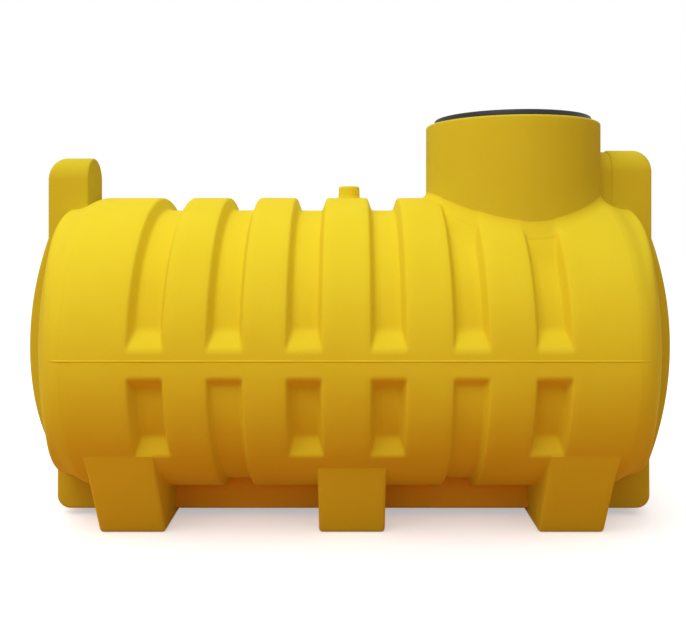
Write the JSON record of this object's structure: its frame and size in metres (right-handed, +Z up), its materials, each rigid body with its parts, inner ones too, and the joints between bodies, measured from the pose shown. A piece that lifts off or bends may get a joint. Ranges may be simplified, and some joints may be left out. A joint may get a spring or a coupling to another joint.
{
  "type": "horizontal septic tank",
  "caption": "Horizontal moulded plastic septic tank with grooved barrel, saddle feet, end pipe housings and a round manhole with a black lid.",
  "frame": {"origin": "on the ground, under the middle of the tank, at the height of the soles of the feet", "axes": "+X along the barrel towards the manhole and inlet end, +Z up, -Y towards the side that faces the viewer"},
  "size_m": [2.497, 1.126, 1.554],
  "materials": {
    "yellow_polyethylene": "matt, slightly uneven moulded skin",
    "black_plastic": "satin",
    "seal_rubber": "matt"
  },
  "bodies": {
    "root": {"upper_front_shell": "yellow_polyethylene", "upper_back_shell": "yellow_polyethylene", "lower_front_shell": "yellow_polyethylene", "lower_back_shell": "yellow_polyethylene", "belt_front": "yellow_polyethylene", "belt_back": "yellow_polyethylene", "end_dome_inlet": "yellow_polyethylene", "end_dome_outlet": "yellow_polyethylene", "end_rib_inlet": "yellow_polyethylene", "end_rib_outlet": "yellow_polyethylene", "housing_inlet": "yellow_polyethylene", "housing_outlet": "yellow_polyethylene", "seal_inlet": "seal_rubber", "seal_outlet": "seal_rubber", "keel_end_outlet": "yellow_polyethylene", "keel_outlet": "yellow_polyethylene", "keel_inlet": "yellow_polyethylene", "keel_end_inlet": "yellow_polyethylene", "foot_outlet": "yellow_polyethylene", "foot_centre": "yellow_polyethylene", "foot_inlet": "yellow_polyethylene", "manhole_neck": "yellow_polyethylene", "lid_gasket": "seal_rubber", "manhole_lid": "black_plastic", "vent_boss": "yellow_polyethylene", "parting_bead_front": "yellow_polyethylene", "parting_bead_back": "yellow_polyethylene"}
  },
  "joints": []
}
